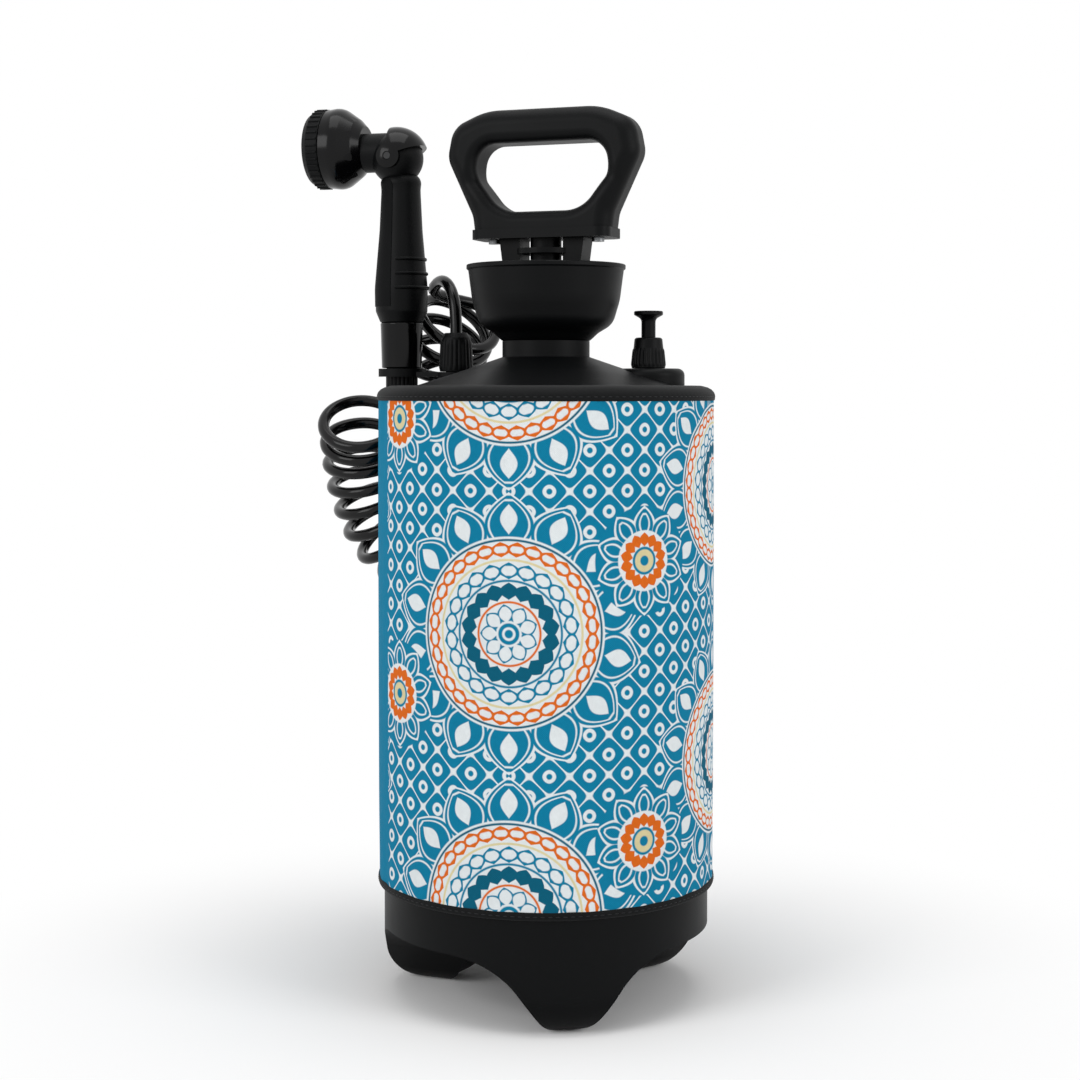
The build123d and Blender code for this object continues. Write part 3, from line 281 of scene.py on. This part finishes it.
# Small flowers where four rosettes leave room
edge_across = calc("SUBTRACT", calc("FRACT", calc("ADD", around, 0.5)), 0.5)
edge_odd = calc("MODULO", calc("FLOOR", calc("ADD", around, 0.5)), 2.0)
edge_lift = calc("MULTIPLY_ADD", edge_odd, 0.5, calc("ADD", height, 0.25))
edge_up = calc("SUBTRACT", calc("FRACT", edge_lift), 0.5)
small_radius, small_angle = polar(edge_across, edge_up)
small_leaf = leaves(small_radius, small_angle, 10, 0.03, 0.195, 1.3)
colour = paint(within(disc(small_radius, 0.195)), colour, teal)
for inset, tone in ((0.0, chalk), (0.011, teal), (0.026, chalk), (0.033, teal)):
    colour = paint(within(small_leaf, inset), colour, tone)
colour = paint(within(disc(small_radius, 0.108)), colour, chalk)
colour = paint(within(leaves(small_radius, small_angle, 14, 0.05, 0.1, 1.25)), colour, orange)
colour = paint(within(disc(small_radius, 0.05)), colour, teal)
colour = paint(within(disc(small_radius, 0.04)), colour, cream)
colour = paint(within(disc(small_radius, 0.018)), colour, teal)

# Plain panel between the seam and the print's edge
panel_start, panel_end = 0.444, 0.5655
in_panel = calc(
    "MULTIPLY",
    calc("GREATER_THAN", turn_share, panel_start),
    calc("LESS_THAN", turn_share, panel_end),
)
colour = paint(in_panel, colour, teal)

# Knit face: loops of about 1.1 mm in the relief, and ink that takes unevenly
knit_pitch = 0.0011
loops_round = round(girth / knit_pitch)
loop_across = calc("SINE", calc("MULTIPLY", turn_share, 2 * math.pi * loops_round))
loop_up = calc("SINE", calc("MULTIPLY", level, 2 * math.pi / knit_pitch))
loops = calc("MULTIPLY", loop_across, loop_up)
object_place = add_node(ink, "ShaderNodeTexCoord", {}).outputs["Object"]
uneven = add_node(
    ink, "ShaderNodeTexNoise", {"Vector": object_place, "Scale": 320.0, "Detail": 3.0}
).outputs[0]
slow = add_node(
    ink, "ShaderNodeTexNoise", {"Vector": object_place, "Scale": 14.0, "Detail": 2.0}
).outputs[0]
ink_share = calc("MULTIPLY_ADD", slow, 0.08, calc("MULTIPLY_ADD", uneven, 0.14, 0.86))
inked = add_node(ink, "ShaderNodeVectorMath", (colour, ink_share), operation="MULTIPLY")
knit = add_node(
    ink, "ShaderNodeBump", {"Height": loops, "Strength": 0.4, "Distance": 0.00012}
).outputs[0]
cloth = add_node(
    ink,
    "ShaderNodeBsdfPrincipled",
    {
        "Base Color": inked.outputs[0],
        "Roughness": 0.8,
        "Normal": knit,
        "Specular IOR Level": 0.12,
    },
).outputs[0]
add_node(ink, "ShaderNodeOutputMaterial", {"Surface": cloth})

sleeve_points = 300
sleeve_rows = 48
row_rise = (sleeve_high.z - sleeve_low.z) / sleeve_rows
bpy.ops.object.select_all(action="DESELECT")
bpy.ops.mesh.primitive_circle_add(
    vertices=sleeve_points, radius=sleeve_radius, location=(0, 0, sleeve_low.z)
)
sleeve = bpy.context.object
sleeve.name = "sleeve_cloth"
bpy.ops.object.mode_set(mode="EDIT")
bpy.ops.mesh.select_all(action="SELECT")
for row in range(sleeve_rows):
    bpy.ops.mesh.extrude_edges_move(TRANSFORM_OT_translate={"value": (0, 0, row_rise)})
bpy.ops.mesh.select_all(action="SELECT")
bpy.ops.mesh.normals_make_consistent(inside=False)
bpy.ops.object.mode_set(mode="OBJECT")
bpy.ops.object.transform_apply(location=True, rotation=True, scale=True)

print_map = sleeve.data.uv_layers.new(name="print")
for face in sleeve.data.polygons:
    spots = [sleeve.data.vertices[v].co for v in face.vertices]
    shares = [math.atan2(spot.y, spot.x) / (2 * math.pi) % 1.0 for spot in spots]
    crosses = max(shares) - min(shares) > 0.5
    for loop, share, spot in zip(face.loop_indices, shares, spots):
        print_map.data[loop].uv = (share + 1.0 if crosses and share < 0.5 else share, spot.z)

ripple_depth = 0.00045
ripple_reach = 0.03
for vertex in sleeve.data.vertices:
    spot = vertex.co
    turned = math.atan2(spot.y, spot.x)
    from_edge = min(spot.z - sleeve_low.z, sleeve_high.z - spot.z)
    fade = ripple_depth * math.exp(-((from_edge / ripple_reach) ** 2))
    ripple = 0.6 * math.sin(23 * turned) + 0.4 * math.sin(37 * turned + 1.3) - 0.6
    spot.x += fade * ripple * math.cos(turned)
    spot.y += fade * ripple * math.sin(turned)
wall = sleeve.modifiers.new("neoprene", "SOLIDIFY")
wall.thickness = cloth_thickness
wall.offset = -1.0
bpy.ops.object.modifier_apply(modifier="neoprene")
bpy.ops.object.shade_smooth_by_angle(angle=math.radians(40))
sleeve.data.materials.append(print_cloth)
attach(sleeve, "tank_body")
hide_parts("sleeve")

# Bound edges: woven polyester tape folded over the neoprene and sewn through.
# The upper one lies in over the shoulder. The thread pulls small dimples in both.

# Woven tape: matt, with a short sheen and a weave drawn a little coarse so it shows
woven_tape = moulded("polyester_tape_woven", "#0C0D0E", 0.78, 0.0007, 0.00016, 0.14, sheen=0.06)
# Bonded nylon thread, a little brighter than the tape it lies on
thread = moulded("nylon_thread_bonded", "#17191B", 0.5, 0.0006, 0.00005, 0.3)
stitch_count = 150
columns_per_stitch = 4
stitch_rise = 0.0023
dimple_depth = 0.00022
dimple_reach = 0.0009
dimple_skin = 0.0007
tape_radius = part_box("sleeve_bottom_binding")[1].x
bottom_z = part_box("sleeve_bottom_binding")[0].z
top_z = sleeve_high.z
lip_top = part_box("sleeve_top_binding")[1].z
lip_radius = 0.0841
inner_radius = sleeve_radius - cloth_thickness
bottom_outline = [
    (inner_radius, sleeve_low.z), (inner_radius, bottom_z + 0.0008),
    (inner_radius + 0.0008, bottom_z), (tape_radius - 0.0014, bottom_z),
    (tape_radius - 0.0004, bottom_z + 0.0005), (tape_radius, bottom_z + 0.0015),
    (tape_radius, bottom_z + stitch_rise), (tape_radius, bottom_z + 0.0031),
    (tape_radius - 0.0001, sleeve_low.z - 0.0005), (tape_radius - 0.0005, sleeve_low.z),
]
top_outline = [
    (inner_radius, top_z), (tape_radius - 0.0005, top_z),
    (tape_radius - 0.0001, top_z + 0.0005), (tape_radius, top_z + 0.0015),
    (tape_radius, top_z + stitch_rise), (tape_radius, top_z + 0.0031),
    (tape_radius - 0.0006, top_z + 0.0046), (tape_radius - 0.0021, top_z + 0.0062),
    (tape_radius - 0.0044, top_z + 0.0074), (tape_radius - 0.0080, top_z + 0.0083),
    (lip_radius + 0.0005, lip_top - 0.0003), (lip_radius, lip_top - 0.0009),
    (lip_radius, lip_top - 0.0018), (lip_radius + 0.0039, top_z + 0.0059),
    (inner_radius - 0.0003, top_z + 0.0051),
]


def sewn_tape(name, outline, stitch_z, node):
    """Spins a tape's section round the tank and pulls a dimple in it at each stitch."""
    bpy.ops.object.select_all(action="DESELECT")
    bpy.ops.mesh.primitive_circle_add(vertices=len(outline), radius=0.01)
    tape = bpy.context.object
    tape.name = name
    for vertex, (across_tape, level_tape) in zip(tape.data.vertices, outline):
        vertex.co = (across_tape, 0, level_tape)
    bpy.ops.object.mode_set(mode="EDIT")
    bpy.ops.mesh.select_all(action="SELECT")
    bpy.ops.mesh.spin(
        steps=stitch_count * columns_per_stitch,
        angle=2 * math.pi,
        center=(0, 0, 0),
        axis=(0, 0, 1),
    )
    bpy.ops.mesh.select_all(action="SELECT")
    bpy.ops.mesh.remove_doubles(threshold=0.00001)
    bpy.ops.mesh.normals_make_consistent(inside=False)
    bpy.ops.object.mode_set(mode="OBJECT")
    for vertex in tape.data.vertices:
        spot = vertex.co
        if math.hypot(spot.x, spot.y) > tape_radius - dimple_skin:
            near = math.exp(-(((spot.z - stitch_z) / dimple_reach) ** 2))
            pulled = 0.5 + 0.5 * math.cos(stitch_count * math.atan2(spot.y, spot.x))
            shrink = 1 - dimple_depth * near * pulled / tape_radius
            spot.x *= shrink
            spot.y *= shrink
    bpy.ops.object.shade_smooth_by_angle(angle=math.radians(50))
    tape.data.materials.append(woven_tape)
    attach(tape, "tank_body")
    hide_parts(node)


def sewn_line(name, stitch_z):
    """One stitch half sunk in the tape, copied round the tank."""
    bpy.ops.object.select_all(action="DESELECT")
    bpy.ops.mesh.primitive_uv_sphere_add(
        segments=6, ring_count=6, radius=1.0, location=(tape_radius - 0.00005, 0, stitch_z)
    )
    row = bpy.context.object
    row.name = name
    row.scale = (0.00022, 0.00125, 0.00026)
    bpy.ops.object.transform_apply(location=True, rotation=True, scale=True)
    bpy.ops.object.mode_set(mode="EDIT")
    bpy.ops.mesh.select_all(action="SELECT")
    bpy.ops.mesh.spin(
        steps=stitch_count - 1,
        dupli=True,
        angle=2 * math.pi * (stitch_count - 1) / stitch_count,
        center=(0, 0, 0),
        axis=(0, 0, 1),
    )
    bpy.ops.object.mode_set(mode="OBJECT")
    bpy.ops.object.shade_smooth()
    row.data.materials.append(thread)
    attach(row, "tank_body")


sewn_tape("bottom_tape", bottom_outline, bottom_z + stitch_rise, "sleeve_bottom_binding")
sewn_tape("top_tape", top_outline, top_z + stitch_rise, "sleeve_top_binding")
sewn_line("bottom_stitches", bottom_z + stitch_rise)
sewn_line("top_stitches", top_z + stitch_rise)

# Seam of the sleeve: a flat strip of the same tape over the join, sewn at both edges.
# It lies at the back, beside the plain panel.
seam_angle = math.radians(158.0)
seam_low, seam_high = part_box("sleeve_seam")
seam_width = 0.009
seam_lift = 0.0001
seam_crown = 0.00045
seam_groove = 0.00012
seam_middle = (seam_low.z + seam_high.z) / 2
bpy.ops.object.select_all(action="DESELECT")
bpy.ops.mesh.primitive_grid_add(x_subdivisions=13, y_subdivisions=120, size=1.0)
seam = bpy.context.object
seam.name = "seam_tape"
for vertex in seam.data.vertices:
    share_across, share_up = vertex.co.x, vertex.co.y
    turned = seam_angle + share_across * seam_width / sleeve_radius
    crown = seam_crown * (1 - (2 * share_across) ** 4)
    crown += seam_groove * math.cos(8 * math.pi * share_across)
    out = sleeve_radius + seam_lift + max(crown, 0.0)
    vertex.co = (
        out * math.cos(turned),
        out * math.sin(turned),
        seam_middle + share_up * (seam_high.z - seam_low.z),
    )
strip = seam.modifiers.new("tape", "SOLIDIFY")
strip.thickness = 0.0003
strip.offset = -1.0
bpy.ops.object.modifier_apply(modifier="tape")
bpy.ops.object.shade_smooth_by_angle(angle=math.radians(40))
seam.data.materials.append(woven_tape)
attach(seam, "tank_body")
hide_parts("sleeve_seam")

stitch_pitch = 0.0038
stitch_aside = 0.0031
stitch_lift = 0.00042
for side, offset in (("near", -stitch_aside), ("far", stitch_aside)):
    turned = seam_angle + offset / sleeve_radius
    out = sleeve_radius + stitch_lift
    bpy.ops.object.select_all(action="DESELECT")
    bpy.ops.mesh.primitive_uv_sphere_add(
        segments=6,
        ring_count=6,
        radius=1.0,
        location=(out * math.cos(turned), out * math.sin(turned), seam_low.z + stitch_pitch),
    )
    row = bpy.context.object
    row.name = "seam_stitches_" + side
    row.scale = (0.00024, 0.00024, 0.00125)
    bpy.ops.object.transform_apply(location=True, rotation=True, scale=True)
    repeat = row.modifiers.new("line", "ARRAY")
    repeat.use_relative_offset = False
    repeat.use_constant_offset = True
    repeat.constant_offset_displace = (0, 0, stitch_pitch)
    repeat.count = int((seam_high.z - seam_low.z) / stitch_pitch) - 1
    bpy.ops.object.modifier_apply(modifier="line")
    bpy.ops.object.shade_smooth()
    row.data.materials.append(thread)
    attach(row, "tank_body")

# Flutes of the valve's, the outlet's and the hose's nut, for wet fingers.
# They are moulded in one with the nuts, and run out at both ends.
# Per nut: how many, its axis, its body, their start above its foot, length and draft.
flute_height = 0.0005
flute_run_out = 0.0012
flute_wall = 0.001
flute_rows = 10
points_per_flute = 8
for node, flutes, middle, body, margin, length, taper in (
    ("relief_nut", 24, (0.058, 0.0), "tank_body", 0.0008, 0.0105, 0.0011),
    ("outlet_nut", 20, (-0.053, 0.050), "tank_body", 0.0008, 0.0180, 0.0010),
    ("hose_nut", 22, (-0.086, 0.062), "handset", 0.0035, 0.0160, 0.0),
):
    nut_low, nut_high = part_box(node)
    nut_radius = (nut_high.x - nut_low.x) / 2
    foot = nut_low.z + margin
    bpy.ops.object.select_all(action="DESELECT")
    bpy.ops.mesh.primitive_circle_add(
        vertices=points_per_flute * flutes, radius=nut_radius, location=(*middle, foot)
    )
    skin = bpy.context.object
    skin.name = node + "_flutes"
    bpy.ops.object.mode_set(mode="EDIT")
    bpy.ops.mesh.select_all(action="SELECT")
    for row in range(flute_rows):
        bpy.ops.mesh.extrude_edges_move(
            TRANSFORM_OT_translate={"value": (0, 0, length / flute_rows)}
        )
    bpy.ops.mesh.select_all(action="SELECT")
    bpy.ops.mesh.normals_make_consistent(inside=False)
    bpy.ops.object.mode_set(mode="OBJECT")
    for vertex in skin.data.vertices:
        spot = vertex.co
        turned = math.atan2(spot.y, spot.x)
        run_out = min(1.0, min(spot.z, length - spot.z) / flute_run_out)
        proud = flute_height * max(run_out, 0.0) * abs(math.cos(flutes * turned / 2))
        out = nut_radius - taper * spot.z / length + proud
        spot.x, spot.y = out * math.cos(turned), out * math.sin(turned)
    bpy.ops.object.transform_apply(location=True, rotation=True, scale=True)
    wall = skin.modifiers.new("wall", "SOLIDIFY")
    wall.thickness = flute_wall
    wall.offset = -1.0
    bpy.ops.object.modifier_apply(modifier="wall")
    bpy.ops.object.shade_smooth_by_angle(angle=math.radians(50))
    skin.data.materials.append(satin_black)
    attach(skin, body)

# Curly hose: one 7 mm polyurethane tube from the outlet's nut to the handset's nut.
# It is set in close turns, which hang behind the shoulder and fan out at the front.
hose_diameter = 0.007
turn_radius = 0.0246
turns = 23.62
points_per_turn = 16
first_phase = math.radians(-24)
coil_route = [
    (-0.110, 0.068, 0.328),
    (-0.110, 0.081, 0.315),
    (-0.109, 0.091, 0.295),
    (-0.104, 0.100, 0.272),
    (-0.092, 0.111, 0.247),
    (-0.072, 0.125, 0.236),
    (-0.049, 0.138, 0.243),
    (-0.034, 0.145, 0.265),
    (-0.034, 0.142, 0.292),
    (-0.050, 0.137, 0.320),
    (-0.062, 0.126, 0.346),
    (-0.066, 0.108, 0.369),
    (-0.050, 0.091, 0.389),
]
handset_tail_route = [
    (-0.086, 0.062, 0.336),
    (-0.086, 0.062, 0.326),
    (-0.087, 0.0655, 0.316),
]
outlet_tail_route = [
    (-0.053, 0.050, 0.376),
    (-0.053, 0.050, 0.391),
    (-0.057, 0.0589, 0.4049),
    (-0.0637, 0.0738, 0.4093),
    (-0.0712, 0.0903, 0.4009),
]


def route_spline(name, points, resolution, bevel=0.0):
    """A curve object whose one smooth spline has these points as its control points."""
    data = bpy.data.curves.new(name, "CURVE")
    data.dimensions = "3D"
    data.bevel_depth = bevel
    data.bevel_resolution = 5
    data.use_fill_caps = bevel > 0
    spline = data.splines.new("NURBS")
    spline.points.add(len(points) - 1)
    for control, point in zip(spline.points, points):
        control.co = (*point, 1.0)
    spline.order_u = 3
    spline.use_endpoint_u = True
    spline.resolution_u = resolution
    made = bpy.data.objects.new(name, data)
    scene.collection.objects.link(made)
    return made


def points_along(curve):
    """The points that a curve's own line passes through. The curve is then removed."""
    bpy.context.view_layer.update()
    line = bpy.data.meshes.new_from_object(curve)
    points = [vertex.co.copy() for vertex in line.vertices]
    bpy.data.objects.remove(curve)
    return points


coil_steps = 24
hose_steps = 4
coil_middle = points_along(route_spline("coil_middle", coil_route, coil_steps))
reached = [0.0]
for before, after in zip(coil_middle, coil_middle[1:]):
    reached.append(reached[-1] + (after - before).length)
point_count = round(turns * points_per_turn)
coil_points = []
normal = Vector((1, 0, 0))
for index in range(point_count + 1):
    share = index / point_count
    along = reached[-1] * share
    step = min(max(int(np.searchsorted(reached, along)) - 1, 0), len(coil_middle) - 2)
    part = (along - reached[step]) / (reached[step + 1] - reached[step])
    middle = coil_middle[step].lerp(coil_middle[step + 1], part)
    heading = (coil_middle[step + 1] - coil_middle[step]).normalized()
    normal = (normal - heading * normal.dot(heading)).normalized()
    side = heading.cross(normal)
    phase = first_phase + 2 * math.pi * turns * share
    outward = normal * math.cos(phase) + side * math.sin(phase)
    coil_points.append(middle + turn_radius * outward)
# The tails take over from the coil a few points before its ends
left_out = 2
hose_points = (
    [Vector(point) for point in outlet_tail_route]
    + list(reversed(coil_points))[left_out:-left_out]
    + [Vector(point) for point in reversed(handset_tail_route)]
)
hose_line = points_along(route_spline("hose_line", hose_points, hose_steps))
hose_tube = route_spline("hose_tube", hose_points, hose_steps, hose_diameter / 2)
bpy.context.view_layer.update()
hose = bpy.data.objects.new("curly_hose", bpy.data.meshes.new_from_object(hose_tube))
bpy.data.objects.remove(hose_tube)
scene.collection.objects.link(hose)
hose.data.materials.clear()
# Extruded polyurethane: deep black and glossy, with a faint pull along the tube
hose.data.materials.append(moulded("polyurethane_tube", "#040405", 0.16, 0.004, 0.00002, 0.26))
hose.data.shade_smooth()
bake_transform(hose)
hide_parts("hose_coil", "hose_tail_handset", "hose_tail_outlet")

# Floor: a wide sheet of white paper, which keeps the shadow near the feet.
# Further off it shows as plain white, so it has no edge against the surround.
floor_width = 14.0
fade_start, fade_end = 0.12, 0.42


def seen_rays(tree):
    """One on rays that come from the camera, from a gloss or through a clear piece."""
    ray = add_node(tree, "ShaderNodeLightPath", {})
    seen = ray.outputs["Is Camera Ray"]
    for output in ("Is Glossy Ray", "Is Transmission Ray"):
        seen = add_node(
            tree, "ShaderNodeMath", (seen, ray.outputs[output]), operation="MAXIMUM"
        ).outputs[0]
    return seen


bpy.ops.object.select_all(action="DESELECT")
bpy.ops.mesh.primitive_plane_add(size=floor_width, location=(0, 0, 0))
floor = bpy.context.object
floor.name = "floor"
paper = bpy.data.materials.new("white_paper")
paper.use_nodes = True
sheet_tree = paper.node_tree
sheet_tree.nodes.clear()
spot = add_node(sheet_tree, "ShaderNodeTexCoord", {}).outputs["Object"]
reach = add_node(sheet_tree, "ShaderNodeVectorMath", {0: spot}, operation="LENGTH")
fade = add_node(
    sheet_tree,
    "ShaderNodeMapRange",
    {"Value": reach.outputs["Value"], "From Min": fade_start, "From Max": fade_end},
    interpolation_type="SMOOTHSTEP",
).outputs[0]
share = add_node(
    sheet_tree, "ShaderNodeMath", (fade, seen_rays(sheet_tree)), operation="MULTIPLY"
).outputs[0]
matt = add_node(
    sheet_tree, "ShaderNodeBsdfDiffuse", {"Color": linear("#FAFAFA"), "Roughness": 0.5}
).outputs[0]
plain = add_node(
    sheet_tree, "ShaderNodeEmission", {"Color": linear("#FFFFFF"), "Strength": 1.0}
).outputs[0]
both = add_node(sheet_tree, "ShaderNodeMixShader", (share, matt, plain)).outputs[0]
add_node(sheet_tree, "ShaderNodeOutputMaterial", {"Surface": both})
floor.data.materials.append(paper)

# Light: a soft box at each side, one above and a white surround.
# The surround lights the shaded sides, and is white where it is looked at.
world = bpy.data.worlds.new("studio")
scene.world = world
world.use_nodes = True
air = world.node_tree
air.nodes.clear()
ambient = 0.55
glow = add_node(
    air, "ShaderNodeMath", (seen_rays(air), 1.0 - ambient, ambient), operation="MULTIPLY_ADD"
).outputs[0]
surround = add_node(
    air, "ShaderNodeBackground", {"Color": linear("#FFFFFF"), "Strength": glow}
).outputs[0]
add_node(air, "ShaderNodeOutputWorld", {"Surface": surround})
light_aim = Vector((0, 0, 0.25))
for name, spot, power, size in (
    ("soft_left", (-1.2, -1.0, 0.9), 7.0, 0.8),
    ("soft_right", (1.3, -0.9, 0.8), 6.0, 0.8),
    ("soft_top", (0.0, -0.2, 1.9), 9.0, 1.2),
):
    data = bpy.data.lights.new(name, "AREA")
    data.energy = power
    data.shape = "SQUARE"
    data.size = size
    lamp = bpy.data.objects.new(name, data)
    lamp.location = spot
    lamp.rotation_euler = (light_aim - Vector(spot)).to_track_quat("-Z", "Y").to_euler()
    scene.collection.objects.link(lamp)
scene.view_settings.view_transform = "Standard"
